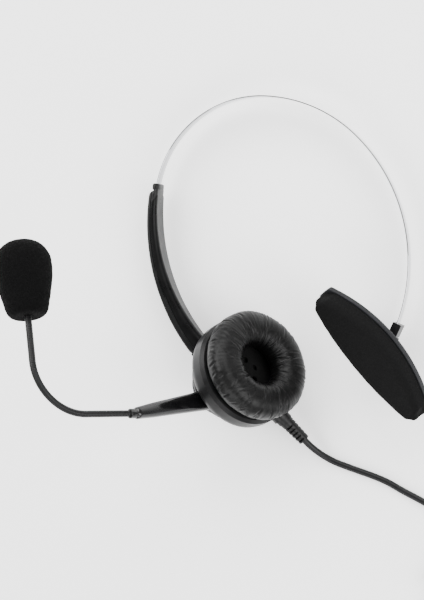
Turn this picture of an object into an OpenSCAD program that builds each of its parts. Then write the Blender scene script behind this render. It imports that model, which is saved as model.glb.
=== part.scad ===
// Single-ear office headset: spring-steel headband, arm, ear cup, boom
// microphone, temple T-bar and cord. Lies on its side, millimetres.
// +X runs from the microphone towards the T-bar, +Y from the ear cup
// towards the crown of the headband, +Z up from the surface it lies on.

/* [Headband] */
// Width of the steel strip
strip_w = 7.5; // [6:0.5:8]
// Thickness of the steel strip
strip_t = 0.6; // [0.4:0.1:0.7]
// Width of the arm across the strip
arm_w = 15.5; // [14:0.5:16]

/* [Ear cup] */
// Outer radius of the ear cushion
cushion_r = 27.5; // [26:0.5:28]
// Radius of the hole in the ear cushion
cushion_hole_r = 10; // [9:0.5:11]
// Outer radius of the rear housing
housing_r = 27; // [26.5:0.5:27.5]
// Swivel of the ear cup out of the headband's plane, degrees
cup_swivel = 36; // [34:1:38]

/* [Boom] */
// Outer radius of the gooseneck
neck_r = 1.7; // [1.5:0.1:1.9]
// Largest radius of the foam windscreen
foam_r = 14; // [13:0.5:14]

/* [T-bar] */
// Half length of the T-bar pad
pad_half_l = 38; // [36:0.5:39]
// Half width of the T-bar pad
pad_half_w = 14; // [13:0.5:15]

/* [Cord] */
// Radius of the cord
cord_r = 1.7; // [1.5:0.1:1.8]

/* [Hidden] */
$fn = 64;

// Shift that brings the bottom centre of the headset to the origin
ORG = [-4.62, -58.26, 12.18];
// Headband arcs in the headband's plane: centre and radius, ear cup side first
A1 = [60, 86]; R1 = 100;
R2 = 53; A2 = A1 + (R1 - R2) * [cos(175), sin(175)];
R3 = 70.5; A3 = A2 + [0, R2 - R3];
R4 = 86; A4 = A3 + (R3 - R4) * [cos(50), sin(50)];
// Swivel point of the ear cup and its heading in the plane
CUP = [-3.35, -1.9];
CUP_HEAD = 29;
// Distance from the swivel point to the arm's tip
TIP = 14.6;
// Knuckle of the T-bar and its three rest angles
KN = [82, 26];
T_HEAD = 158.2; T_SWIVEL = -76.5; T_TILT = 39.8; T_SPIN = -34.6;
// Gooseneck: centre and radius of its bend, and its rest headings
NB = [-80, 33.3]; NR = 24.3;
// Strain relief direction round the ear cup
SR_ANG = -64.5;
SR_Z = 20;
SR_END = 46;

module in_loop() translate(ORG) children();
module in_cup() in_loop() translate([CUP[0], CUP[1], 0]) rotate([0, 0, CUP_HEAD])
    rotate([0, 90 - cup_swivel, 0]) children();
module in_knuckle() in_loop() translate([KN[0], KN[1], 0]) rotate([0, 0, T_HEAD]) children();
module in_swivel() in_knuckle() rotate([0, T_SWIVEL, 0]) children();
module in_tilt() in_swivel() translate([5, 0, 0]) rotate([0, 0, T_TILT]) children();
module in_tbar() in_tilt() rotate([T_SPIN, 0, 0]) children();

// A curved bar: radius r about c, from angle a0 to a1, t thick and w wide
module arc_bar(c, r, a0, a1, t, w, fn = 360)
    translate([c[0], c[1], 0]) rotate([0, 0, a0]) rotate_extrude(angle = a1 - a0, $fn = fn)
        translate([r - t / 2, -w / 2]) square([t, w]);
// A ring or disc about Z
module ring(ro, ri, z0, z1) difference() {
    translate([0, 0, z0]) cylinder(r = ro, h = z1 - z0);
    if (ri > 0) translate([0, 0, z0 - 1]) cylinder(r = ri, h = z1 - z0 + 2);
}
// A round bar along +Y of the current frame
module bar_y(r, y0, y1) translate([0, y0, 0]) rotate([-90, 0, 0]) cylinder(r = r, h = y1 - y0);
module bar_x(r, x0, x1) translate([x0, 0, 0]) rotate([0, 90, 0]) cylinder(r = r, h = x1 - x0);
// A frame at the arm's tip: Y runs up into the arm
module in_tip() in_loop() translate([CUP[0], CUP[1], 0]) rotate([0, 0, CUP_HEAD]) children();

// ---- headband strip ----
// Points along one arc, and along the whole strip at an offset d from its middle line
function arc_pts(c, r, a0, a1, n) = [for (i = [0:n]) let (a = a0 + (a1 - a0) * i / n) c + r * [cos(a), sin(a)]];
function line_pts(d) = concat(arc_pts(A1, R1 + d, 214, 177, 18), arc_pts(A2, R2 + d, 175, 93, 27),
    arc_pts(A3, R3 + d, 90, 53, 15), arc_pts(A4, R4 + d, 50, -21.1, 30));
module strip_solid(t, w) translate([0, 0, -w / 2]) linear_extrude(height = w)
    polygon(concat(line_pts(t / 2), let (q = line_pts(-t / 2)) [for (i = [len(q) - 1:-1:0]) q[i]]));
module headband_strip() color("gainsboro") in_loop() strip_solid(strip_t, strip_w);
module strip_stop() color("silver") in_loop() difference() {
    arc_bar(A1, R1, 211.5, 213.8, 1.3, 9.4);
    arc_bar(A1, R1, 210, 215, strip_t, strip_w);
}
module strip_end_block() color("#161616") difference() {
    in_knuckle() union() {
        translate([-2.2, -10, -5]) cube([4.4, 6.4, 10]);
        bar_y(2, -4, 2.2);
    }
    in_loop() strip_solid(strip_t, strip_w);
}

// ---- arm ----
// The arm's side outline in the headband's plane
module arm_outline() intersection() {
    difference() {
        translate([63.9, 84]) circle(r = 106.6, $fn = 360);
        translate([56.3, 88.6]) circle(r = 94.2, $fn = 360);
    }
    translate([CUP[0], CUP[1]]) rotate(CUP_HEAD)
        polygon([[-16, TIP], [8, TIP], [52, 80], [22, 106], [-20, 100]]);
    polygon([[-60, 92.5], [-60, -10], [40, -10], [40, 95.5], [-36, 95.5]]);
}
// The arm's outline seen from its edge: it narrows towards the tip
module arm_body() intersection() {
    translate([0, 0, -12]) linear_extrude(height = 24) arm_outline();
    rotate([90, 0, 90]) translate([0, 0, -70]) linear_extrude(height = 100)
        polygon([[0, -5.4], [14, -5.6], [34, -7], [60, -arm_w / 2], [80, -arm_w / 2], [100, -7],
            [100, 7], [80, arm_w / 2], [60, arm_w / 2], [34, 7], [14, 5.6], [0, 5.4]]);
}
module arm_cover_solid() intersection() {
    arm_body();
    translate([0, 0, -5.4]) linear_extrude(height = 10.8) intersection() {
        translate([56.3, 88.6]) circle(r = 95.3, $fn = 360);
        polygon([[-60, 91], [-60, 26], [0, 26], [0, 91]]);
    }
}
module arm_outer_shell() color("#151515") difference() {
    in_loop() difference() {
        arm_body();
        arm_cover_solid();
        arc_bar(A1, R1, 170, 219.5, 2, 10);
    }
    in_tip() bar_y(2, TIP - 1, TIP + 7);
    in_tip() translate([-30, -10, -30]) cube([60, 30.2, 60]);
}
// The arm's round tip, which passes the boom's ring as the ear cup swivels
module arm_pivot_block() color("#151515") difference() {
    intersection() {
        in_loop() arm_body();
        in_tip() bar_y(6, TIP - 2, 20.2);
    }
    in_tip() bar_y(2, TIP - 1, TIP + 7);
    in_tip() translate([0, TIP + 3.6, -7]) cylinder(r = 1.2, h = 4.75);
}
module arm_inner_cover() color("#1c1c1c") in_loop() difference() {
    arm_cover_solid();
    arc_bar(A1, R1, 170, 219.5, 2, 10);
}
module arm_end_collar() color("#202020") in_loop() difference() {
    translate([-39.7, 96.3, 0]) rotate([0, 0, -4]) translate([-2.3, -1.6, -6]) cube([4.6, 3.4, 12]);
    translate([0, 0, -12]) linear_extrude(height = 24) arm_outline();
    arc_bar(A1, R1, 170, 180, 2, 10);
    arc_bar(A2, R2, 160, 175, 2, 10);
}
module friction_spring() color("silver") in_loop() arc_bar(A1, 99.2, 180, 188, 0.3, 6);
module arm_screws() color("#303030") in_tip()
    for (y = [TIP + 3.6]) translate([0, y, -5.55]) {
        cylinder(r = 1.2, h = 3.3);
    }
module arm_pivot_pin() color("silver") in_tip() bar_y(2, 6.2, TIP + 7);

// ---- hub and boom ----
module hub_cap() color("#4a4a4c") in_cup() difference() {
    rotate_extrude($fn = 96) difference() {
        union() {
            translate([0, -2]) square([13.6, 8]);
            intersection() {
                translate([0, 9.3]) circle(r = 16.3, $fn = 120);
                translate([0, -8]) square([12.2, 6.1]);
            }
        }
        translate([0, 5]) square([4.2, 4]);
    }
    bar_y(2.05, 5.8, 16);
    translate([0, 0, -5]) cylinder(r = 1.3, h = 12);
    translate([0, 0, -9]) cylinder(r = 2.6, h = 4.2);
}
module hub_screw() color("dimgray") in_cup() union() {
    translate([0, 0, -6.6]) cylinder(r = 2.5, h = 1.8);
    translate([0, 0, -4.8]) cylinder(r = 1.2, h = 16);
}
module hub_washer() color("silver") in_cup() ring(10, 6.2, 12.1, 12.7);
module boom_ring() color("#101010") in_cup() difference() {
    union() {
        ring(19.5, 6.05, 6.5, 11.6);
    }
    translate([0, 0, 9.4]) ring(17.5, 9, 0, 4);
}
module in_holder() in_cup() translate([-60.3, 1.9, 9]) rotate([0, 0, -8.5]) children();
module boom_holder() color("#0c0c0c") difference() {
    in_holder() rotate([0, 90, 0]) rotate_extrude($fn = 64)
        polygon([[0, 0], [2.7, 0], [3, 0.6], [3.2, 9], [3.9, 20], [4.6, 34], [4.9, 43], [0, 43]]);
    in_cup() translate([0, 0, -6]) cylinder(r = 19.5, h = 40, $fn = 120);
    in_root() bar_y(neck_r, 10, 35);
    in_root() bar_y(2.4, 10, 28);
    in_cup() translate([-70, -20, -10]) cube([100, 60, 16.2]);
    in_cup() translate([-70, -20, 12]) cube([100, 60, 16.2]);
}
// Where the gooseneck's straight root meets its bend: Y runs back to the holder
module in_root() in_cup() translate([NB[0], NB[1], 9]) rotate([0, 0, 253]) translate([NR, 0, 0]) children();
module boom_ferrule() color("#1a1a1a") in_root() difference() {
    bar_y(2.4, 24.6, 28);
    bar_y(neck_r, 20, 30);
}
// Gooseneck pieces: straight, bend, straight
module neck_bend(a0, a1) in_cup() translate([NB[0], NB[1], 9]) rotate([0, 0, a0])
    rotate_extrude(angle = a1 - a0, $fn = 120) translate([NR, 0]) circle(r = neck_r, $fn = 32);
module gooseneck_lower() color("#121212") union() {
    in_root() bar_y(neck_r, 0, 35);
    in_root() translate([-NR, 0, 0]) mirror([0, 1, 0]) rotate_extrude(angle = 45, $fn = 120)
        translate([NR, 0]) circle(r = neck_r, $fn = 32);
}
module gooseneck_upper() color("#121212") {
    neck_bend(158, 203);
    in_cup() translate([NB[0], NB[1], 9]) rotate([0, 0, 158]) translate([NR, 0, 0]) bar_y(neck_r, -30, 0);
}
// Microphone frame: Y runs back along the gooseneck
module in_mic() in_cup() translate([NB[0], NB[1], 9]) rotate([0, 0, 158]) translate([NR, 0, 0]) children();
module mic_housing() color("#181818") in_mic() difference() {
    union() {
        bar_y(3, -31, -24);
        bar_y(5, -46, -31);
    }
    bar_y(neck_r, -30, -20);
    bar_y(4.2, -47, -36);
}
module mic_capsule() color("silver") in_mic() difference() {
    bar_y(4.2, -45.5, -36);
    bar_y(0.9, -47, -44.5);
}
module mic_windscreen() color("#0a0a0a") in_mic() difference() {
    translate([0, -22, 0]) rotate([90, 0, 0]) rotate_extrude($fn = 64) union() {
        polygon([[0, 0], [8, 0], [10.2, 2.5], [11.6, 8], [13.1, 16], [foam_r, 24], [0, 24]]);
        intersection() {
            translate([0, 24]) circle(r = foam_r, $fn = 96);
            translate([0, 23.9]) square([20, 20]);
        }
    }
    bar_y(3, -31.01, -20);
    bar_y(5, -46.01, -31);
}

// ---- ear cup ----
module rear_housing() color("#131313") in_cup() difference() {
    union() {
        rotate_extrude($fn = 128) difference() {
            polygon([[0, 13], [15, 13], [22, 13.8], [25, 15.4], [26.5, 17.6], [housing_r, 20],
                [housing_r, 24.6], [housing_r - 1.6, 26.2], [0, 26.2]]);
            polygon([[0, 15.2], [20, 15.6], [24.4, 18.4], [25, 20], [25, 27], [0, 27]]);
        }
        translate([0, 0, 6.2]) cylinder(r = 6, h = 9.2);
        for (a = [30, 150, 270]) rotate([0, 0, a]) translate([21, 0, 14.5]) cylinder(r = 2.2, h = 6.9);
        rotate([0, 0, SR_ANG]) translate([0, 0, SR_Z]) bar_x(4.6, 25.2, 30);
    }
    translate([0, 0, 0]) cylinder(r = 1.2, h = 11.2);
    rotate([0, 0, SR_ANG]) translate([0, 0, SR_Z]) bar_x(1.8, 20, 31);
    for (a = [30, 150, 270]) rotate([0, 0, a]) translate([21, 0, 17]) cylinder(r = 0.9, h = 8);
}
module speaker_baffle() color("#1b1b1b") in_cup() difference() {
    ring(25, 13, 21.4, 23.2);
    for (a = [30, 150, 270]) rotate([0, 0, a]) translate([21, 0, 20]) cylinder(r = 1, h = 8);
}
module housing_screws() color("gray") in_cup() for (a = [30, 150, 270]) rotate([0, 0, a])
    translate([21, 0, 0]) union() {
        translate([0, 0, 17]) cylinder(r = 0.9, h = 6.2);
        translate([0, 0, 23.2]) cylinder(r = 1.8, h = 1);
    }
module cushion_ring() color("#181818") in_cup() difference() {
    ring(25, 14.5, 24.3, 26.5);
    ring(23.5, 0, 23, 25.2);
}
module ear_cushion() color("#0d0d0d") in_cup() rotate_extrude($fn = 128) {
    translate([cushion_hole_r + 7.75, 34.25]) circle(r = 7.75, $fn = 64);
    translate([cushion_hole_r + 7.75, 26.5]) square([cushion_r - cushion_hole_r - 15.5, 15.5]);
    translate([cushion_r - 7.75, 34.25]) circle(r = 7.75, $fn = 64);
}
module speaker_frame() color("dimgray") in_cup() difference() {
    union() {
        ring(13, 0, 20.6, 23.2);
        ring(14.6, 13, 23.2, 23.8);
        ring(13, 0, 23.2, 23.8);
        ring(11, 0, 18.4, 20.6);
    }
    ring(12, 0, 21.2, 25);
    ring(8, 0, 17, 22);
}
module speaker_magnet() color("silver") in_cup() ring(8, 2, 16.6, 20.8);
module speaker_diaphragm() color("ivory") in_cup() ring(11.8, 0, 21.6, 22);
module speaker_mesh() color("#222222") in_cup() difference() {
    ring(14.4, 0, 24.2, 24.8);
    for (i = [0:5]) rotate([0, 0, i * 60]) translate([6, 0, 20]) cylinder(r = 1.5, h = 8, $fn = 24);
}
module strain_relief() color("#0f0f0f") in_cup() rotate([0, 0, SR_ANG]) translate([0, 0, SR_Z]) difference() {
    union() {
        bar_x(3.9, 30, 32.5);
        translate([32.5, 0, 0]) rotate([0, 90, 0]) rotate_extrude($fn = 48)
            polygon([[0, 0], [3.5, 0], [2.9, 13.5], [0, 13.5]]);
    }
    for (i = [0:4]) translate([34.2 + i * 2.2, 1.4, -5]) cube([1, 5, 10]);
    for (i = [0:4]) translate([35.3 + i * 2.2, -6.4, -5]) cube([1, 5, 10]);
}

// ---- T-bar ----
module t_knuckle() color("#141414") in_swivel() difference() {
    union() {
        bar_y(3.2, -3.4, 4);
        translate([2, -2, -2]) cube([3, 4, 4]);
        translate([5, 0, -2]) cylinder(r = 2.4, h = 4);
    }
    bar_y(2.05, -5, 2.6);
    translate([5, 0, -4]) cylinder(r = 1.05, h = 8);
}
module t_hinge_block() color("#141414") in_tilt() difference() {
    union() {
        for (z = [-4.4, 2.3]) translate([0, 0, z]) cylinder(r = 2.4, h = 2.1);
        for (z = [-4.4, 2.3]) translate([0, -2.4, z]) cube([4.4, 4.8, 2.1]);
        bar_x(5.4, 3.4, 4.8);
        bar_x(1.6, 4.8, 9.6);
    }
    translate([0, 0, -6]) cylinder(r = 1, h = 12);
}
module t_pivot_pin() color("silver") in_tilt() translate([0, 0, -4.4]) cylinder(r = 1, h = 8.8);
module t_stud_clip() color("silver") in_tilt() ring_x(3, 1.6, 8.3, 9.1);
module ring_x(ro, ri, x0, x1) difference() {
    bar_x(ro, x0, x1);
    bar_x(ri, x0 - 1, x1 + 1);
}
// The pad's outline: a lens with clipped ends
module lens(hl, hw) intersection() {
    translate([0, 79 - hw]) circle(r = 79, $fn = 240);
    translate([0, hw - 79]) circle(r = 79, $fn = 240);
    circle(r = hl, $fn = 120);
}
// A slice of the lens between two cylinders that bend it towards the head
module bent(hl, hw, x0, x1, r = 240) intersection() {
    translate([-5, 0, 0]) rotate([0, 90, 0]) linear_extrude(height = 40) lens(hl, hw);
    translate([r + x0, 0, 0]) rotate([90, 0, 0]) difference() {
        translate([0, 0, -30]) cylinder(r = r, h = 60, $fn = 360);
        translate([0, 0, -31]) cylinder(r = r - (x1 - x0), h = 62, $fn = 360);
    }
    translate([-10, -40, -50]) cube([60, 80, 100]);
}
module t_bar_plate() color("#26272a") in_tbar() difference() {
    bent(pad_half_l, pad_half_w, 5.2, 7.8);
    bar_x(1.65, 2, 12);
}
module t_bar_pad() color("#101010") in_tbar() difference() {
    bent(pad_half_l - 0.5, pad_half_w - 0.5, 7.8, 16.8, 237.4);
    bar_x(3.6, 4, 10.4);
}

// ---- cord ----
// Route of the stretch that is not coiled, from the strain relief to the coil
CR = [[41.1, -24.7, -4.3], [44.6, -28.1, -6.2], [49.6, -31.8, -8.6], [55.6, -34.8, -10.1], [62, -36.8, -10.45],
    [69, -38.7, -10.45], [76, -40.6, -10.45], [83, -43, -10.45], [90, -46.3, -10.45], [96, -48.9, -10.45],
    [102, -51.5, -10.45], [108.5, -54.2, -10.45], [115, -56.7, -10.45], [121.5, -59, -10.45], [128, -61.1, -10.45],
    [134.6, -63, -10.45]];
module cord() color("#101010") in_loop() sweep(CR, cord_r, 8);
// Sweep a round section along points, with level rings
function unit(v) = v / norm(v);
function tan_at(p, i) = unit(p[min(i + 1, len(p) - 1)] - p[max(i - 1, 0)]);
function side_at(p, i) = unit(cross(tan_at(p, i), [0, 0, 1]));
function smooth(p) = [for (i = [0:len(p) - 2]) for (k = [0:1]) k == 0 ? p[i] :
    (i == 0 || i == len(p) - 2) ? (p[i] + p[i + 1]) / 2 :
    (9 * (p[i] + p[i + 1]) - p[i - 1] - p[i + 2]) / 16, p[len(p) - 1]];
module sweep(route, r, n) {
    p = smooth(route);
    m = len(p);
    pts = [for (i = [0:m - 1]) let (s = side_at(p, i), u = cross(s, tan_at(p, i)))
        for (k = [0:n - 1]) p[i] + r * (cos(360 * k / n) * s + sin(360 * k / n) * u)];
    polyhedron(points = pts, faces = concat(
        [[for (k = [0:n - 1]) k]], [[for (k = [n - 1:-1:0]) (m - 1) * n + k]],
        [for (i = [0:m - 2]) for (k = [0:n - 1]) let (a = i * n + k, b = i * n + (k + 1) % n)
            [a, a + n, b + n, b]]));
}
// Coil: centre and mean radius
CC = [134, -88]; CRAD = 19;
module cord_coil() color("#101010") in_loop() translate([CC[0], CC[1], -ORG[2]]) rotate_extrude($fn = 96)
    translate([CRAD - 6.95, 0]) square([13.9, 7]);
module coil_tie() color("#1a1a1a") in_loop() translate([CC[0] - CRAD, CC[1], -ORG[2]]) difference() {
    translate([-7.9, -2.5, 0]) cube([15.8, 5, 7.9]);
    translate([-7, -3, -1]) cube([14, 6, 8.1]);
}
// Plug: a small modular plug lying beside the coil
module in_plug() in_loop() translate([CC[0] + 20.5, CC[1] - 31, -ORG[2]]) rotate([0, 0, -92]) children();
module plug_body() color("lightgray") in_plug() difference() {
    translate([0, -3.85, 0]) cube([13.6, 7.7, 6.6]);
    for (i = [0:3]) translate([9, -2.5 + i * 1.4, -1]) cube([6, 0.8, 2.4]);
}
module plug_contacts() color("gold") in_plug() for (i = [0:3]) translate([9.2, -2.35 + i * 1.4, 0.3]) cube([4, 0.5, 1.1]);
module plug_latch() color("lightgray") in_plug() union() {
    translate([12, -1.6, 6.9]) cube([1.4, 3.2, 1.7]);
    translate([1, -1.6, 8]) cube([11.2, 3.2, 0.7]);
}

headband_strip();
strip_stop();
strip_end_block();
arm_outer_shell();
arm_inner_cover();
arm_pivot_block();
arm_end_collar();
friction_spring();
arm_screws();
arm_pivot_pin();
hub_cap();
hub_washer();
hub_screw();
boom_ring();
boom_holder();
boom_ferrule();
gooseneck_lower();
gooseneck_upper();
mic_housing();
mic_capsule();
mic_windscreen();
rear_housing();
speaker_baffle();
cushion_ring();
ear_cushion();
speaker_frame();
speaker_magnet();
speaker_diaphragm();
speaker_mesh();
housing_screws();
t_knuckle();
t_hinge_block();
t_pivot_pin();
t_stud_clip();
t_bar_plate();
t_bar_pad();
strain_relief();
cord();
cord_coil();
coil_tie();
plug_body();
plug_contacts();
plug_latch();
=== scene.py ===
"""Visual model of the single-ear office headset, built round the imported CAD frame."""
import math
import random

import bmesh
import bpy
from mathutils import Matrix, Vector, noise


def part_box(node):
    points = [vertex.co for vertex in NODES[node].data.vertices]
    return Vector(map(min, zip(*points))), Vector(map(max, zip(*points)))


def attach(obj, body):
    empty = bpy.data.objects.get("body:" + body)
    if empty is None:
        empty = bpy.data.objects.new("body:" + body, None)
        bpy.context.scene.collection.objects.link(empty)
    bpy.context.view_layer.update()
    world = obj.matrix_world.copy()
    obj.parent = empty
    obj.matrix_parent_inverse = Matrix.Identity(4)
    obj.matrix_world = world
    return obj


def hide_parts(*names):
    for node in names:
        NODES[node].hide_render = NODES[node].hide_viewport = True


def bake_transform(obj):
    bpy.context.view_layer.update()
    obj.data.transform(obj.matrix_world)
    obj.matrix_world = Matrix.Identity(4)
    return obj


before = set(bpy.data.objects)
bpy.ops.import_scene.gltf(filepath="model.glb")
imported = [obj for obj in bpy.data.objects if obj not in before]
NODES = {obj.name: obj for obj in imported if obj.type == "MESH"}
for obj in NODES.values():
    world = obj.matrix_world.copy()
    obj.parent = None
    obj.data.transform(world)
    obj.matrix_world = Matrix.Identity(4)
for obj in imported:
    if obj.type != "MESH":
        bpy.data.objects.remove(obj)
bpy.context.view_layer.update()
MM = 0.001
scene = bpy.context.scene


# ---------------------------------------------------------------- frames
def rot(axis, deg):
    return Matrix.Rotation(math.radians(deg), 3, axis)


CUP_O = Vector((-3.35, -1.9, 0))
CUP_M = rot("Z", 29) @ rot("Y", 54)
# The hub washer is centred on the cup's axis, 12.4 mm out, so its box gives the model's origin
washer = [Vector(c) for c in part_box("hub_washer")]
ORG = (washer[0] + washer[1]) / 2 / MM - CUP_O - CUP_M @ Vector((0, 0, 12.4))
print("origin", [round(c, 3) for c in ORG])
KN_O = Vector((82, 26, 0))
SW_M = rot("Z", 158.2) @ rot("Y", -76.5)
TB_M = SW_M @ rot("Z", 39.8) @ rot("X", -34.6)
TB_O = KN_O + SW_M @ Vector((5, 0, 0))
NB, NR, BZ = Vector((-80, 33.3, 0)), 24.3, 9.0


def loop(p):
    return (ORG + Vector(p)) * MM


def cup(p):
    return (ORG + CUP_O + CUP_M @ Vector(p)) * MM


def tbar(p):
    return (ORG + TB_O + TB_M @ Vector(p)) * MM


# ---------------------------------------------------------------- camera
back = Vector((0.25218553, 0.0147076, 0.96756713))
right = Vector((0.96592583, 0.05633332, -0.25261404))
up = Vector((-0.0582216, 0.9983037, 0.0))
cam_data = bpy.data.cameras.new("camera")
cam = bpy.data.objects.new("camera", cam_data)
scene.collection.objects.link(cam)
cam_data.sensor_fit = "VERTICAL"
cam_data.sensor_height = 36.0
cam_data.lens = 36.0 * 2268.0 / 600.0
cam_data.clip_start = 0.05
cam_data.clip_end = 20
cam.matrix_world = Matrix.Translation(loop((275.072, 57.865, 1088.35))) @ Matrix((right, up, back)).transposed().to_4x4()
scene.camera = cam


# ---------------------------------------------------------------- node materials
class Mat:
    def __init__(self, name, color, rough=0.4, spec=0.5, metallic=0.0, coat=0.0, coat_rough=0.1, sheen=0.0, sheen_rough=0.4):
        self.m = bpy.data.materials.new(name)
        self.m.use_nodes = True
        self.nt = self.m.node_tree
        self.nt.nodes.clear()
        self.out = self.node("ShaderNodeOutputMaterial")
        self.b = self.node("ShaderNodeBsdfPrincipled")
        self.nt.links.new(self.b.outputs[0], self.out.inputs[0])
        self.b.inputs["Base Color"].default_value = (*color, 1)
        self.b.inputs["Roughness"].default_value = rough
        self.b.inputs["Metallic"].default_value = metallic
        self.b.inputs["Specular IOR Level"].default_value = spec
        self.b.inputs["Coat Weight"].default_value = coat
        self.b.inputs["Coat Roughness"].default_value = coat_rough
        self.b.inputs["Sheen Weight"].default_value = sheen
        self.b.inputs["Sheen Roughness"].default_value = sheen_rough
        self.coord = self.node("ShaderNodeTexCoord")

    def node(self, kind, **kw):
        n = self.nt.nodes.new(kind)
        for k, v in kw.items():
            setattr(n, k, v)
        return n

    def link(self, a, b):
        self.nt.links.new(a, b)

    def noise(self, scale, detail=4.0, rough=0.5, stretch=None):
        n = self.node("ShaderNodeTexNoise")
        n.inputs["Scale"].default_value = scale
        n.inputs["Detail"].default_value = detail
        n.inputs["Roughness"].default_value = rough
        if stretch:
            mp = self.node("ShaderNodeMapping")
            mp.inputs["Scale"].default_value = stretch
            self.link(self.coord.outputs["Object"], mp.inputs[0])
            self.link(mp.outputs[0], n.inputs["Vector"])
        else:
            self.link(self.coord.outputs["Object"], n.inputs["Vector"])
        return n.outputs["Fac"]

    def voronoi(self, scale, feature="F1"):
        n = self.node("ShaderNodeTexVoronoi", feature=feature)
        n.inputs["Scale"].default_value = scale
        self.link(self.coord.outputs["Object"], n.inputs["Vector"])
        return n.outputs["Distance"]

    def ramp(self, fac, stops):
        n = self.node("ShaderNodeValToRGB")
        while len(n.color_ramp.elements) < len(stops):
            n.color_ramp.elements.new(0.5)
        for e, (p, c) in zip(n.color_ramp.elements, stops):
            e.position = p
            e.color = (*c, 1) if isinstance(c, tuple) else (c, c, c, 1)
        self.link(fac, n.inputs[0])
        return n.outputs[0]

    def color(self, fac, stops):
        self.link(self.ramp(fac, stops), self.b.inputs["Base Color"])
        return self

    def rough(self, fac, lo, hi, a=0.3, c=0.7):
        n = self.node("ShaderNodeMapRange")
        n.inputs["From Min"].default_value = a
        n.inputs["From Max"].default_value = c
        n.inputs["To Min"].default_value = lo
        n.inputs["To Max"].default_value = hi
        self.link(fac, n.inputs["Value"])
        self.link(n.outputs[0], self.b.inputs["Roughness"])
        return self

    def bump(self, facs, dist=0.0001, strength=0.3):
        prev = None
        for fac, st in facs:
            n = self.node("ShaderNodeBump")
            n.inputs["Strength"].default_value = st * strength
            n.inputs["Distance"].default_value = dist
            self.link(fac, n.inputs["Height"])
            if prev:
                self.link(prev.outputs[0], n.inputs["Normal"])
            prev = n
        self.link(prev.outputs[0], self.b.inputs["Normal"])
        return self


def plastic(name, base, lo, hi, coat=0.0, grain=0.25, spec=0.2):
    m = Mat(name, base, rough=(lo + hi) / 2, spec=spec, coat=coat, coat_rough=0.08)
    n1 = m.noise(180, 5)
    n2 = m.noise(2600, 2)
    light = tuple(c * 1.5 + 0.0008 for c in base)
    m.color(n1, [(0.3, base), (0.75, light)])
    m.rough(n1, lo, hi)
    m.bump([(n2, 1.0), (n1, 0.5)], 0.00006, grain)
    return m.m


def metal(name, base, lo, hi, stretch=(40, 900, 40)):
    m = Mat(name, base, rough=lo, metallic=1.0)
    n1 = m.noise(30, 4, stretch=(3, 3, 30))
    n2 = m.noise(8, 3, stretch=stretch)
    m.color(n1, [(0.3, tuple(c * 0.9 for c in base)), (0.7, base)])
    m.rough(n2, lo, hi)
    m.bump([(n2, 1.0)], 0.00002, 0.12)
    return m.m


M = {}
M["satin"] = plastic("satin_black", (0.0022, 0.0022, 0.0024), 0.30, 0.42, grain=0.25)
M["cover"] = plastic("cover_black", (0.0015, 0.0015, 0.0016), 0.26, 0.36, grain=0.1, spec=0.12)
M["gloss"] = plastic("gloss_black", (0.0018, 0.0018, 0.002), 0.14, 0.24, coat=0.5, grain=0.08)
M["hub"] = plastic("hub_grey", (0.02, 0.02, 0.022), 0.36, 0.5, grain=0.4)
M["plate"] = plastic("plate_grey", (0.009, 0.0093, 0.0105), 0.36, 0.5, grain=0.4)
M["inner"] = plastic("inner_plastic", (0.003, 0.003, 0.003), 0.5, 0.65, grain=0.4)
M["tie"] = plastic("tie_black", (0.01, 0.01, 0.01), 0.4, 0.55, grain=0.3)
M["cord"] = plastic("cord_black", (0.0028, 0.0028, 0.003), 0.30, 0.42, grain=0.3)
M["boot"] = plastic("boot_black", (0.0025, 0.0025, 0.0027), 0.34, 0.48, grain=0.5)
M["neck"] = plastic("neck_black", (0.002, 0.002, 0.0022), 0.24, 0.34, grain=0.2)
M["steel"] = metal("polished_steel", (0.45, 0.455, 0.47), 0.06, 0.11)
M["bare"] = metal("bare_metal", (0.56, 0.56, 0.57), 0.22, 0.36)
M["gold"] = metal("contact_gold", (0.83, 0.62, 0.24), 0.18, 0.28)

m = Mat("leatherette", (0.002, 0.002, 0.002), rough=0.36, spec=0.17)
g1, g2 = m.voronoi(1500), m.noise(420, 6, 0.6)
m.color(g2, [(0.3, (0.0014, 0.0014, 0.0014)), (0.75, (0.003, 0.003, 0.003))])
m.rough(g2, 0.32, 0.46)
m.bump([(g1, 0.5), (g2, 0.8)], 0.00018, 0.5)
M["leather"] = m.m

m = Mat("open_foam", (0.0015, 0.0015, 0.0015), rough=0.96, spec=0.06)
g1, g2 = m.voronoi(1700), m.noise(900, 5, 0.7)
m.color(g1, [(0.0, (0.0006, 0.0006, 0.0006)), (0.6, (0.0024, 0.0024, 0.0024))])
m.rough(g2, 0.88, 1.0)
m.bump([(g1, 1.0), (g2, 1.0)], 0.0004, 0.8)
M["foam"] = m.m

m = Mat("pad_foam", (0.003, 0.003, 0.003), rough=0.95, spec=0.09)
g1, g2 = m.voronoi(2600), m.noise(1500, 4, 0.6)
m.color(g1, [(0.0, (0.0018, 0.0018, 0.0018)), (0.7, (0.0042, 0.0042, 0.0043))])
m.rough(g2, 0.86, 1.0)
m.bump([(g1, 0.9), (g2, 0.7)], 0.00022, 0.6)
M["pad"] = m.m

m = Mat("fine_cloth", (0.003, 0.003, 0.003), rough=0.9, spec=0.2)
w1 = m.node("ShaderNodeTexWave", wave_type="BANDS", bands_direction="X")
w2 = m.node("ShaderNodeTexWave", wave_type="BANDS", bands_direction="Y")
for w in (w1, w2):
    w.inputs["Scale"].default_value = 700
    m.link(m.coord.outputs["Object"], w.inputs["Vector"])
m.color(w1.outputs["Fac"], [(0.2, (0.0015, 0.0015, 0.0015)), (0.9, (0.005, 0.005, 0.005))])
m.rough(m.noise(300), 0.85, 1.0)
m.bump([(w1.outputs["Fac"], 1.0), (w2.outputs["Fac"], 1.0)], 0.0002, 0.6)
M["cloth"] = m.m

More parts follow.
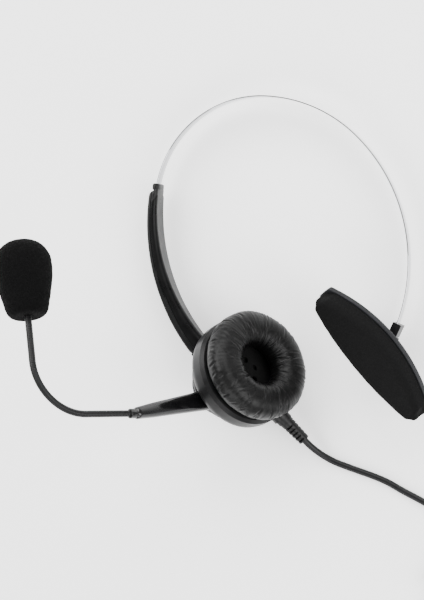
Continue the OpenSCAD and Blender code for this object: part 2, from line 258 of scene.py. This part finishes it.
m = Mat("clear_plug", (0.85, 0.88, 0.9), rough=0.12)
m.b.inputs["Transmission Weight"].default_value = 0.75
m.b.inputs["IOR"].default_value = 1.5
g = m.noise(200, 3)
m.color(g, [(0.3, (0.80, 0.83, 0.86)), (0.7, (0.9, 0.92, 0.93))])
m.rough(g, 0.1, 0.2)
M["clear"] = m.m

m = Mat("film", (0.02, 0.02, 0.02), rough=0.3)
g = m.noise(400, 3)
m.color(g, [(0.3, (0.012, 0.012, 0.012)), (0.7, (0.02, 0.02, 0.02))])
m.rough(g, 0.25, 0.4)
M["film"] = m.m


def paint(obj, key):
    obj.data.materials.clear()
    obj.data.materials.append(M[key])
    return obj


# ---------------------------------------------------------------- mesh helpers
def mesh_obj(name, verts, faces, key, angle=40.0):
    me = bpy.data.meshes.new(name)
    me.from_pydata([tuple(v) for v in verts], [], faces)
    me.validate()
    bm = bmesh.new()
    bm.from_mesh(me)
    bmesh.ops.recalc_face_normals(bm, faces=bm.faces)
    bm.to_mesh(me)
    bm.free()
    for p in me.polygons:
        p.use_smooth = True
    me.set_sharp_from_angle(angle=math.radians(angle))
    o = bpy.data.objects.new(name, me)
    scene.collection.objects.link(o)
    me.materials.append(M[key])
    return o


def loft(name, rings, key, closed=False, caps=True, angle=40.0):
    """Rings of equal length joined by quads; the ends are fans unless closed."""
    n = len(rings[0])
    verts = [v for r in rings for v in r]
    faces = []
    m_ = len(rings)
    for i in range(m_ if closed else m_ - 1):
        j = (i + 1) % m_
        for k in range(n):
            l = (k + 1) % n
            faces.append((i * n + k, i * n + l, j * n + l, j * n + k))
    if caps and not closed:
        for end in (0, m_ - 1):
            c = sum((Vector(v) for v in rings[end]), Vector()) / n
            verts.append(c)
            ci = len(verts) - 1
            for k in range(n):
                faces.append((end * n + k, end * n + (k + 1) % n, ci))
    return mesh_obj(name, verts, faces, key, angle)


def frames_along(pts):
    """Side and up vectors that turn as little as possible along a line."""
    tans = []
    for i in range(len(pts)):
        a, b = pts[max(i - 1, 0)], pts[min(i + 1, len(pts) - 1)]
        tans.append((b - a).normalized())
    ref = Vector((0, 0, 1)) if abs(tans[0].z) < 0.9 else Vector((1, 0, 0))
    s = tans[0].cross(ref).normalized()
    out = []
    for t in tans:
        s = (s - t * s.dot(t)).normalized()
        out.append((s, t.cross(s).normalized()))
    return out


def tube(name, pts, radius, n, key, angle=60.0):
    fr = frames_along(pts)
    rings = []
    for i, (p, (s, u)) in enumerate(zip(pts, fr)):
        r = radius(i) if callable(radius) else radius
        rings.append([p + (s * math.cos(2 * math.pi * k / n) + u * math.sin(2 * math.pi * k / n)) * r for k in range(n)])
    return loft(name, rings, key, angle=angle)


def catmull(pts, step):
    out = []
    for i in range(len(pts) - 1):
        p0 = pts[i - 1] if i else pts[0] * 2 - pts[1]
        p1, p2 = pts[i], pts[i + 1]
        p3 = pts[i + 2] if i + 2 < len(pts) else pts[-1] * 2 - pts[-2]
        n = max(2, int(math.ceil((p2 - p1).length / step)))
        for k in range(n):
            t = k / n
            out.append(0.5 * ((2 * p1) + (p2 - p0) * t + (2 * p0 - 5 * p1 + 4 * p2 - p3) * t * t + (3 * p1 - p0 - 3 * p2 + p3) * t ** 3))
    out.append(pts[-1].copy())
    return out


def smoothstep(x):
    x = min(max(x, 0.0), 1.0)
    return x * x * (3 - 2 * x)


def superellipse(a, b, n, power=2.6):
    out = []
    for k in range(n):
        t = 2 * math.pi * k / n
        c, s = math.cos(t), math.sin(t)
        out.append((a * math.copysign(abs(c) ** (2 / power), c), b * math.copysign(abs(s) ** (2 / power), s)))
    return out


# ---------------------------------------------------------------- cord
ROUTE = [(41.1, -24.7, -4.3), (44.6, -28.1, -6.2), (49.6, -31.8, -8.6), (55.6, -34.8, -10.1), (62, -36.8, -10.45),
         (69, -38.7, -10.45), (76, -40.6, -10.45), (83, -43, -10.45), (90, -46.3, -10.45), (96, -48.9, -10.45),
         (102, -51.5, -10.45), (108.5, -54.2, -10.45), (115, -56.7, -10.45), (121.5, -59, -10.45), (128, -61.1, -10.45),
         (134.6, -63, -10.45)]
CC = Vector((134, -88, 0))
pts = [Vector(p) for p in ROUTE]
Z0, Z1 = -10.45, -7.0
R0, R1 = 24.25, 13.75
total = 7 * 360 + 85
for a in range(0, total + 1, 12):
    turn = a / 360.0
    if turn <= 3:
        r, z = R0 + (R1 - R0) * turn / 3, Z0
    elif turn <= 4:
        t = turn - 3
        r, z = R1, Z0 + (Z1 - Z0) * math.sqrt(max(0.0, 1 - (1 - t) ** 2)) ** 1.3
    else:
        r, z = R1 + (R0 - R1) * min(1.0, (turn - 4) / 3), Z1
    f = math.radians(75 - a)
    pts.append(CC + Vector((r * math.cos(f), r * math.sin(f), z)))
pts += [CC + Vector(p) for p in [(23.4, -8.5, -7.3), (22.4, -13, -8.3), (21.4, -18, -9.7), (20.8, -23, -10.1), (20.5, -27, -9.6), (20.5, -31, -8.9), (20.5, -34, -8.88)]]
cord_line = [loop(p) for p in catmull(pts, 1.6)]
cv = bpy.data.curves.new("headset_cord", "CURVE")
cv.dimensions = "3D"
sp = cv.splines.new("POLY")
sp.points.add(len(cord_line) - 1)
for q, p in zip(sp.points, cord_line):
    q.co = (*p, 1)
cv.bevel_depth = 1.7 * MM
cv.bevel_resolution = 4
cv.use_fill_caps = True
cord = bpy.data.objects.new("headset_cord", cv)
scene.collection.objects.link(cord)
cv.materials.append(M["cord"])
sp.use_smooth = True
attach(cord, "ear_cup")
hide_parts("cord", "cord_coil")

# ---------------------------------------------------------------- headband strip
A1, RA = Vector((60, 86, 0)), 100.0
A2 = A1 + Vector((math.cos(math.radians(175)), math.sin(math.radians(175)), 0)) * 47
A3 = A2 + Vector((0, 53 - 70.5, 0))
A4 = A3 + Vector((math.cos(math.radians(50)), math.sin(math.radians(50)), 0)) * (70.5 - 86)


def arc(c, r, a0, a1, n):
    return [(c + Vector((math.cos(math.radians(a0 + (a1 - a0) * i / n)), math.sin(math.radians(a0 + (a1 - a0) * i / n)), 0)) * r,
             math.radians(a0 + (a1 - a0) * i / n)) for i in range(n + 1)]


line = arc(A1, 100, 214, 175, 60)[:-1] + arc(A2, 53, 175, 90, 110)[:-1] + arc(A3, 70.5, 90, 50, 60)[:-1] + arc(A4, 86, 50, -21.1, 110)
rings = []
for p, f in line:
    o = Vector((math.cos(f), math.sin(f), 0))
    prof = [(0.12, 3.74), (0.27, 3.62), (0.3, 3.4), (0.3, 0), (0.3, -3.4), (0.27, -3.62), (0.12, -3.74),
            (-0.12, -3.74), (-0.27, -3.62), (-0.3, -3.4), (-0.3, 0), (-0.3, 3.4), (-0.27, 3.62), (-0.12, 3.74)]
    rings.append([loop(p + o * a + Vector((0, 0, b))) for a, b in prof])
strip = loft("headband_band", rings, "steel", angle=35)
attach(strip, "band")
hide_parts("headband_strip")

# ---------------------------------------------------------------- arm
OC, OR_, IC, IR = Vector((63.9, 84, 0)), 106.6, Vector((56.3, 88.6, 0)), 94.2
TAU = Vector((-math.sin(math.radians(29)), math.cos(math.radians(29)), 0))


def on_tip(c, r, d):
    lo, hi = math.radians(190), math.radians(245)
    f = lambda a: (c + Vector((math.cos(a), math.sin(a), 0)) * r - CUP_O).dot(TAU) - d
    for _ in range(50):
        mid = (lo + hi) / 2
        if f(mid) > 0:
            lo = mid
        else:
            hi = mid
    return lo


def half_w(y):
    tab = [(0, 5.4), (14, 5.6), (34, 7.0), (60, 7.7), (80, 7.7), (100, 7.0)]
    for (y0, w0), (y1, w1) in zip(tab, tab[1:]):
        if y <= y1:
            return w0 + (w1 - w0) * smoothstep((y - y0) / (y1 - y0)) if y > y0 else w0
    return tab[-1][1]


oa0, ia0 = math.radians(175.45), math.radians(175.6)
oa1, ia1 = on_tip(OC, OR_, 20.22), on_tip(IC, IR, 20.22)
NA = 110
NT = 72


def arm_frame(t):
    a, b = oa0 + (oa1 - oa0) * t, ia0 + (ia1 - ia0) * t
    po = OC + Vector((math.cos(a), math.sin(a), 0)) * OR_
    pi = IC + Vector((math.cos(b), math.sin(b), 0)) * IR
    return po, pi


def d_outline(h, w):
    """Half the section, top to inner face: (along, z) with along towards the head."""
    ro, ri = 1.6, min(4.2, h * 0.95)
    out = []
    for q in range(9):
        f = math.radians(180 - 90 * q / 8)
        out.append((-h + ro + ro * math.cos(f), w - ro + ro * math.sin(f)))
    x0, x1 = -h + ro, h - ri
    out += [(x0 + (x1 - x0) * q / 6, w) for q in range(1, 6)]
    for q in range(15):
        f = math.radians(90 - 90 * q / 14)
        out.append((h - ri + ri * math.cos(f), w - ri * 0.8 + ri * 0.8 * math.sin(f)))
    return out


def place(t, pairs, k=1.0):
    po, pi = arm_frame(t)
    e = (pi - po)
    e.normalize()
    mid = (po + pi) / 2
    return [loop(mid + e * (x * k) + Vector((0, 0, z * k))) for x, z in pairs]


def arm_dims(t):
    po, pi = arm_frame(t)
    return (pi - po).length / 2, half_w(((po + pi) / 2).y)


def seam_x(h):
    return -h + min(2.6, h * 0.62)


def arm_section(t):
    h, w = arm_dims(t)
    sx = seam_x(h)
    top = []
    for x, z in d_outline(h, w):
        if x > sx + 0.15:
            x, z = x - 0.45 * (x - sx) / (2 * h), z - 0.45
        top.append((x, z))
    full = top + [(x, -z) for x, z in reversed(top)]
    ends = min(smoothstep(t / 0.012), smoothstep((1 - t) / 0.02))
    return place(t, full, 1 - 0.08 * (1 - ends))


arm = loft("arm_shell_skin", [arm_section(i / NA) for i in range(NA + 1)], "satin", angle=50)
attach(arm, "arm")
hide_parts("arm_outer_shell")


def cover_section(t):
    h, w = arm_dims(t)
    sx = seam_x(h)
    outer = [(max(x, sx + 0.38), z) for x, z in d_outline(h, w) if x > sx + 0.2]
    end = min(smoothstep((t - 0.045) / 0.012), smoothstep((0.985 - t) / 0.012))
    edge = [(sx + 0.38, w - 0.6), (sx + 0.40, w - 0.12)]
    top = edge + outer
    full = top + [(x, -z) for x, z in reversed(top)]
    k = 0.93 + 0.07 * end
    return place(t, full, k)


def cover_rings():
    rings_ = []
    n_ = None
    for i in range(91):
        r_ = cover_section(0.045 + 0.94 * i / 90)
        n_ = n_ or len(r_)
        rings_.append(r_)
    size = min(len(r_) for r_ in rings_)
    out = []
    for r_ in rings_:
        # even up the count of points where the seam moves along the section
        acc_ = [0.0]
        for a_, b_ in zip(r_, r_[1:]):
            acc_.append(acc_[-1] + (b_ - a_).length)
        new, k_ = [], 0
        for q in range(60):
            want = acc_[-1] * q / 59
            while k_ < len(acc_) - 2 and acc_[k_ + 1] < want:
                k_ += 1
            f_ = (want - acc_[k_]) / max(acc_[k_ + 1] - acc_[k_], 1e-12)
            new.append(r_[k_].lerp(r_[k_ + 1], min(max(f_, 0), 1)))
        out.append(new)
    return out


cover = loft("arm_cover_skin", cover_rings(), "cover", angle=50)
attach(cover, "arm")
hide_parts("arm_inner_cover")

# A small rounded lip closes the top of the arm round the strip
rings = []
for i in range(15):
    u_ = i / 14
    k = 0.55 + 0.45 * math.sqrt(max(0.0, 1 - (2 * u_ - 1) ** 4))
    c = Vector((-39.55, 94.2 + 3.4 * u_, 0))
    rings.append([loop(c + Vector((x, 0, z))) for x, z in superellipse(2.1 * k, 5.8 * (0.9 + 0.1 * k), 36, 3.0)])
lip = loft("arm_collar_skin", rings, "satin", angle=60)
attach(lip, "arm")
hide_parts("arm_end_collar")

# ---------------------------------------------------------------- boom holder
HO = Vector((-60.3, 1.9, BZ))
HM = rot("Z", -8.5)
rings = []
for i in range(61):
    x = 43.2 * i / 60
    if x < 1.4:
        k = math.sqrt(max(0.0, 1 - (1 - x / 1.4) ** 2)) * 0.16 + 0.84
    else:
        k = 1.0
    a = (2.95 + 0.35 * smoothstep(x / 12) + 1.75 * (x / 43.0) ** 1.15) * k
    b = min(2.75 + 0.12 * x / 43, 2.85) * k
    rings.append([cup(HO + HM @ Vector((x, p, q))) for p, q in superellipse(a, b, 40, 2.5)])
# the root is hollowed to sit against the round ring
for r in rings:
    for i, v in enumerate(r):
        local = CUP_M.transposed() @ (v / MM - ORG - CUP_O)
        rad = math.hypot(local.x, local.y)
        if rad < 19.5:
            s = 19.5 / rad
            r[i] = cup((local.x * s, local.y * s, local.z))
holder = loft("boom_holder_skin", rings, "gloss", angle=60)
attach(holder, "boom")
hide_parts("boom_holder")

# ---------------------------------------------------------------- gooseneck: one ribbed tube
def neck_frame(deg):
    a = math.radians(deg)
    return NB + Vector((math.cos(a), math.sin(a), 0)) * NR, Vector((math.sin(a), -math.cos(a), 0))


line = []
p, t = neck_frame(253)
for i in range(36):
    line.append(p - t * (28.5 * (1 - i / 36)))
for i in range(56):
    line.append(neck_frame(253 - 95 * i / 55)[0])
p, t = neck_frame(158)
for i in range(1, 37):
    line.append(p + t * (30 * i / 36))
dense = catmull([Vector((q.x, q.y, BZ)) for q in line], 0.205)
acc, ss = 0.0, [0.0]
for a, b in zip(dense, dense[1:]):
    acc += (b - a).length
    ss.append(acc)


def rib(i):
    ph = (ss[i] / 0.84) % 1.0
    return (1.50 + 0.19 * math.sqrt(max(0.0, 1 - (2 * ph - 1) ** 2))) * MM


neck = tube("gooseneck_skin", [cup(q) for q in dense], rib, 20, "neck", angle=180)
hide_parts("gooseneck_lower", "gooseneck_upper")
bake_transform(neck)

# ---------------------------------------------------------------- foam windscreen
MO, MT = neck_frame(158)
MO = Vector((MO.x, MO.y, BZ))
MX = Vector((-MT.y, MT.x, 0))


def mic(r, ang, s):
    return MO + MT * s + (MX * math.cos(ang) + Vector((0, 0, 1)) * math.sin(ang)) * r


prof = [(22.2, 2.6), (22.0, 5.5), (22.3, 7.6), (23.4, 9.2), (25.5, 10.3), (29, 11.1), (33, 12.0), (38, 13.05), (43, 13.75), (47, 13.95),
        (50.5, 13.6), (53.5, 12.5), (56, 10.8), (58, 8.4), (59.2, 5.6), (59.8, 2.6), (59.95, 0.6)]
pp = catmull([Vector((s, r, 0)) for s, r in prof], 0.45)
rings = []
NW = 120
for q in pp:
    ring_ = []
    for k in range(NW):
        a = 2 * math.pi * k / NW
        v = mic(max(q.y, 0.05), a, q.x)
        n1 = noise.noise(v * 0.9) * 0.22 + noise.noise(v * 2.7 + Vector((5, 1, 3))) * 0.10 - 0.16
        d = (v - mic(0, 0, q.x))
        v = v + d.normalized() * min(n1, 0.06)
        ring_.append(cup(v))
    rings.append(ring_)
foam = loft("windscreen_foam", rings, "foam", angle=180)
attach(foam, "mic_end")
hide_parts("mic_windscreen")

# ---------------------------------------------------------------- T-bar pad
def lens_half(z, hl, hw):
    if abs(z) >= hl:
        return 0.0
    w = math.sqrt(79.0 ** 2 - z * z) - (79.0 - hw)
    return min(w, math.sqrt(max(0.0, hl * hl - z * z)))


def bend_x(z, x0):
    return x0 + 240 - math.sqrt(240 ** 2 - z * z)


def pad_rings(hl, hw, x0, x1, rb, rt, nz=120):
    """Rings across the long axis; the rim is rounded rb at the back and rt at the face."""
    rings_ = []
    for i in range(nz + 1):
        u = -math.cos(math.pi * i / nz)
        z = hl * u
        e = smoothstep((1 - abs(u)) / 0.10)
        w = max(lens_half(z, hl, hw), 0.0)
        w = w * (0.25 + 0.75 * e) if abs(u) > 0.9 else w
        drop = rt * (1 - math.sqrt(max(0.0, 1 - (1 - min((hl - abs(z)) / rt, 1.0)) ** 2)))
        lift = rb * (1 - math.sqrt(max(0.0, 1 - (1 - min((hl - abs(z)) / rb, 1.0)) ** 2)))
        lo, hi = bend_x(z, x0) + lift, bend_x(z, x1) - drop
        if hi < lo + 0.2:
            lo = hi = (lo + hi) / 2
            hi += 0.1
            lo -= 0.1
        w = max(w, 0.15)
        r1 = min(rt, w * 0.95, (hi - lo) * 0.6)
        r0 = min(rb, w * 0.95, (hi - lo) * 0.3)
        sec = []
        for q in range(11):
            f = math.radians(90 - 90 * q / 10)
            sec.append((hi - r1 + r1 * math.sin(f), w - r1 + r1 * math.cos(f)))
        for q in range(5):
            f = math.radians(-90 * q / 4)
            sec.append((lo + r0 + r0 * math.sin(f), w - r0 + r0 * math.cos(f)))
        for q in range(5):
            f = math.radians(90 - 90 * q / 4)
            sec.append((lo + r0 - r0 * math.sin(f), -(w - r0) - r0 * math.cos(f)))
        for q in range(11):
            f = math.radians(90 * q / 10)
            sec.append((hi - r1 + r1 * math.sin(f), -(w - r1) - r1 * math.cos(f)))
        n_mid = 10
        top = hi
        for q in range(1, n_mid):
            y = -(w - r1) + 2 * (w - r1) * q / n_mid
            sec.append((top + 0.0, y))
        rings_.append((z, sec))
    return rings_


rings = []
for z, sec in pad_rings(37.4, 13.4, 7.85, 16.6, 1.0, 3.0):
    r = []
    for x, y in sec:
        v = Vector((x, y, z))
        n1 = noise.noise(v * 0.22) * 0.25 + noise.noise(v * 1.1) * 0.10
        if x > 10:
            x = x + n1 * 0.6 - 0.12
        r.append(tbar((x, y * (1 + 0.004 * n1), z)))
    rings.append(r)
pad = loft("t_bar_foam", rings, "pad", angle=60)
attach(pad, "t_bar")
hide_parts("t_bar_pad")

# ---------------------------------------------------------------- ear cushion
def wrap(a):
    return (a + math.pi) % (2 * math.pi) - math.pi


rng = random.Random(11)
NTH, NPH = 360, 96
RM, RT, TZ = 18.75, 8.55, 7.55
CZ = 34.1


def cushion_base(th, ph, grow=0.0):
    """ph 0 is the outer equator, 90 the crown, 180 the hole's wall."""
    c, s = math.cos(ph), math.sin(ph)
    p = 2.25
    x = (RT + grow) * math.copysign(abs(c) ** (2 / p), c)
    z = (TZ + grow) * math.copysign(abs(s) ** (2 / p), s)
    return Vector(((RM + x) * math.cos(th), (RM + x) * math.sin(th), CZ + z))


def torus_mesh(name, nth, nph, fn, key):
    verts, faces = [], []
    for i in range(nth):
        for j in range(nph):
            verts.append(fn(2 * math.pi * i / nth, 2 * math.pi * j / nph))
    for i in range(nth):
        for j in range(nph):
            a, b = i * nph + j, i * nph + (j + 1) % nph
            c, d = ((i + 1) % nth) * nph + (j + 1) % nph, ((i + 1) % nth) * nph + j
            faces.append((a, b, c, d))
    return mesh_obj(name, verts, faces, key, angle=180)


# A slightly smaller doughnut is blown up as cloth, with its glued back ring held
puff = {}
simn, simp = 120, 40
sim = torus_mesh("cushion_sim", simn, simp, lambda t, p: cup(cushion_base(t, p, -0.55 + 0.25 * noise.noise(Vector((6 * math.cos(t), 6 * math.sin(t), p * 2))))), "leather")
vg = sim.vertex_groups.new(name="pin")
for i in range(simn):
    for j in range(simp):
        ph = 2 * math.pi * j / simp
        if math.sin(ph) < -0.55:
            vg.add([i * simp + j], 1.0, "REPLACE")
start = [v.co.copy() for v in sim.data.vertices]
cm = sim.modifiers.new("cloth", "CLOTH")
cs = cm.settings
cs.mass = 0.05
cs.tension_stiffness = cs.compression_stiffness = 12
cs.bending_stiffness = 0.2
cs.use_pressure = True
cs.uniform_pressure_force = 4
cs.effector_weights.gravity = 0
cs.vertex_group_mass = "pin"
cm.point_cache.frame_start, cm.point_cache.frame_end = 1, 20
cm.collision_settings.use_collision = False
for f in range(1, 21):
    scene.frame_set(f)
dg = bpy.context.evaluated_depsgraph_get()
ev = sim.evaluated_get(dg).to_mesh()
for i in range(simn):
    for j in range(simp):
        k = i * simp + j
        d = ev.vertices[k].co - start[k]
        if d.length > 0.0012:
            d = d.normalized() * 0.0012
        base = (cup(cushion_base(2 * math.pi * i / simn, 2 * math.pi * j / simp, 0.2)) - cup(cushion_base(2 * math.pi * i / simn, 2 * math.pi * j / simp, -0.2))).normalized()
        puff[(i, j)] = d.dot(base) / MM
sim.evaluated_get(dg).to_mesh_clear()
me_ = sim.data
bpy.data.objects.remove(sim)
bpy.data.meshes.remove(me_)
mean = sum(puff.values()) / len(puff)
print("cushion puff mean", round(mean, 3), "max", round(max(puff.values()), 3), "min", round(min(puff.values()), 3))
puff = {k: v - mean for k, v in puff.items()}


def puff_at(th, ph):
    if not puff:
        return 0.0
    u, v = th / (2 * math.pi) * 120, ph / (2 * math.pi) * 40
    i, j = int(u) % 120, int(v) % 40
    fu, fv = u - int(u), v - int(v)
    g = lambda a, b: puff[(a % 120, b % 40)]
    return (g(i, j) * (1 - fu) + g(i + 1, j) * fu) * (1 - fv) + (g(i, j + 1) * (1 - fu) + g(i + 1, j + 1) * fu) * fv


# Creases: short radial folds from the hole and from the outer edge, and a few that cross
creases = []
for i in range(44):
    creases.append(dict(th=2 * math.pi * (i + rng.uniform(-0.35, 0.35)) / 44, mid=math.radians(rng.uniform(120, 175)), span=math.radians(rng.uniform(28, 62)), d=rng.uniform(0.3, 0.75), w=math.radians(rng.uniform(0.9, 1.8)), slant=rng.uniform(-0.10, 0.10)))
for i in range(40):
    creases.append(dict(th=2 * math.pi * (i + rng.uniform(-0.4, 0.4)) / 40, mid=math.radians(rng.uniform(-8, 38)), span=math.radians(rng.uniform(16, 42)), d=rng.uniform(0.25, 0.7), w=math.radians(rng.uniform(0.6, 1.3)), slant=rng.uniform(-0.14, 0.14)))
for i in range(26):
    creases.append(dict(th=rng.uniform(0, 2 * math.pi), mid=math.radians(rng.uniform(55, 115)), span=math.radians(rng.uniform(18, 40)), d=rng.uniform(0.2, 0.5), w=math.radians(rng.uniform(0.7, 1.4)), slant=rng.uniform(-0.35, 0.35)))
by_bin = [[] for _ in range(72)]
for c in creases:
    b = int((c["th"] % (2 * math.pi)) / (2 * math.pi) * 72)
    for q in range(-5, 6):
        by_bin[(b + q) % 72].append(c)


def crease_depth(th, ph):
    d = 0.0
    for c in by_bin[int(th / (2 * math.pi) * 72) % 72]:
        dp = wrap(ph - c["mid"])
        if abs(dp) > c["span"]:
            continue
        env = (0.5 + 0.5 * math.cos(math.pi * dp / c["span"])) ** 0.7
        dt = wrap(th - c["th"] - c["slant"] * dp - 0.02 * math.sin(3 * ph + c["th"] * 7))
        x = dt / c["w"]
        if abs(x) < 4:
            d += c["d"] * env * (math.exp(-x * x) - 0.35 * math.exp(-((abs(x) - 1.7) ** 2)))
    return d


def cushion_point(th, ph):
    v = cushion_base(th, ph)
    n_ = cushion_base(th, ph, 0.3) - cushion_base(th, ph, -0.3)
    n_.normalize()
    soft = noise.noise(Vector((3.2 * math.cos(th), 3.2 * math.sin(th), 1.3 * math.sin(ph)))) * 0.30
    fine = noise.noise(Vector((21 * math.cos(th), 21 * math.sin(th), 2.0 * math.sin(ph) + 1.0 * math.cos(ph)))) * 0.16
    pf = max(-0.4, min(0.4, puff_at(th, ph) * 0.6))
    s = soft + fine + pf - crease_depth(th, ph)
    back_ = smoothstep((-math.sin(ph) - 0.35) / 0.4)
    s = s * (1 - back_)
    return cup(v + n_ * min(s, 0.25))


cushion = torus_mesh("ear_cushion_leather", NTH, NPH, cushion_point, "leather")
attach(cushion, "ear_cup")
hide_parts("ear_cushion")

# ---------------------------------------------------------------- CAD nodes: finishes and soft edges
finish = dict(arm_pivot_block="satin", strip_stop="bare", strip_end_block="satin", arm_end_collar="satin", friction_spring="bare", arm_screws="bare", arm_pivot_pin="bare",
              hub_cap="hub", hub_washer="bare", hub_screw="bare", boom_ring="gloss", boom_ferrule="gloss", mic_housing="satin", mic_capsule="bare",
              rear_housing="satin", speaker_baffle="inner", cushion_ring="inner", speaker_frame="inner", speaker_magnet="bare", speaker_diaphragm="film",
              speaker_mesh="cloth", housing_screws="bare", t_knuckle="satin", t_hinge_block="satin", t_pivot_pin="bare", t_stud_clip="bare",
              t_bar_plate="plate", strain_relief="boot", coil_tie="tie", plug_body="clear", plug_contacts="gold", plug_latch="clear",
              headband_strip="steel", arm_outer_shell="satin", arm_inner_cover="cover", boom_holder="gloss", gooseneck_lower="neck", gooseneck_upper="neck",
              mic_windscreen="foam", ear_cushion="leather", t_bar_pad="pad", cord="cord", cord_coil="cord")
soft_edge = dict(arm_pivot_block=0.5, strip_end_block=0.6, arm_end_collar=0.5, hub_cap=0.5, boom_ring=0.6, rear_housing=0.5, t_knuckle=0.35, t_hinge_block=0.3, t_bar_plate=0.7,
                 strain_relief=0.15, coil_tie=0.2, plug_body=0.25, plug_latch=0.15, mic_housing=0.4, boom_ferrule=0.25)
for n, o in NODES.items():
    paint(o, finish[n])
    if n in soft_edge:
        for p in o.data.polygons:
            p.use_smooth = True
        wl = o.modifiers.new("weld", "WELD")
        wl.merge_threshold = 0.000005
        bv = o.modifiers.new("edge", "BEVEL")
        bv.width = soft_edge[n] * MM
        bv.segments = 3
        bv.limit_method = "ANGLE"
        bv.angle_limit = math.radians(35)
        bv.use_clamp_overlap = True
        bv.harden_normals = False
        wn = o.modifiers.new("normals", "WEIGHTED_NORMAL")
        wn.keep_sharp = True

# ---------------------------------------------------------------- floor and light
me = bpy.data.meshes.new("floor")
me.from_pydata([(-8, -8, 0), (8, -8, 0), (8, 8, 0), (-8, 8, 0)], [], [(0, 1, 2, 3)])
floor = bpy.data.objects.new("floor", me)
scene.collection.objects.link(floor)
floor.location.z = -0.00002
fm = Mat("pale_floor", (0.93, 0.93, 0.93), rough=0.75, spec=0.1)
fm.b.inputs["Emission Color"].default_value = (1, 1, 1, 1)
fm.b.inputs["Emission Strength"].default_value = 0.45
fm.color(fm.noise(3, 2), [(0.3, (0.92, 0.92, 0.92)), (0.7, (0.94, 0.94, 0.94))])
me.materials.append(fm.m)

world = bpy.data.worlds.new("studio")
scene.world = world
world.use_nodes = True
bg = world.node_tree.nodes["Background"]
bg.inputs[0].default_value = (1, 1, 1, 1)
bg.inputs[1].default_value = 0.55


def area(name, loc, target, size, power, size_y=None):
    d = bpy.data.lights.new(name, "AREA")
    d.shape = "RECTANGLE"
    d.size, d.size_y = size, size_y or size
    d.energy = power
    o = bpy.data.objects.new(name, d)
    scene.collection.objects.link(o)
    o.location = loc
    v = Vector(target) - Vector(loc)
    o.rotation_euler = v.to_track_quat("-Z", "Y").to_euler()
    return o


area("key_left", (-0.95, 0.55, 1.0), (0, 0.0, 0.03), 1.1, 36, 1.4)
area("fill_right", (1.0, -0.2, 0.95), (0, 0, 0.03), 0.9, 24, 1.2)
area("top_back", (0.1, 1.1, 0.9), (0, 0.05, 0.03), 1.5, 26, 0.8)
area("front_low", (-0.2, -1.1, 0.9), (0, -0.05, 0.03), 1.5, 18, 0.8)
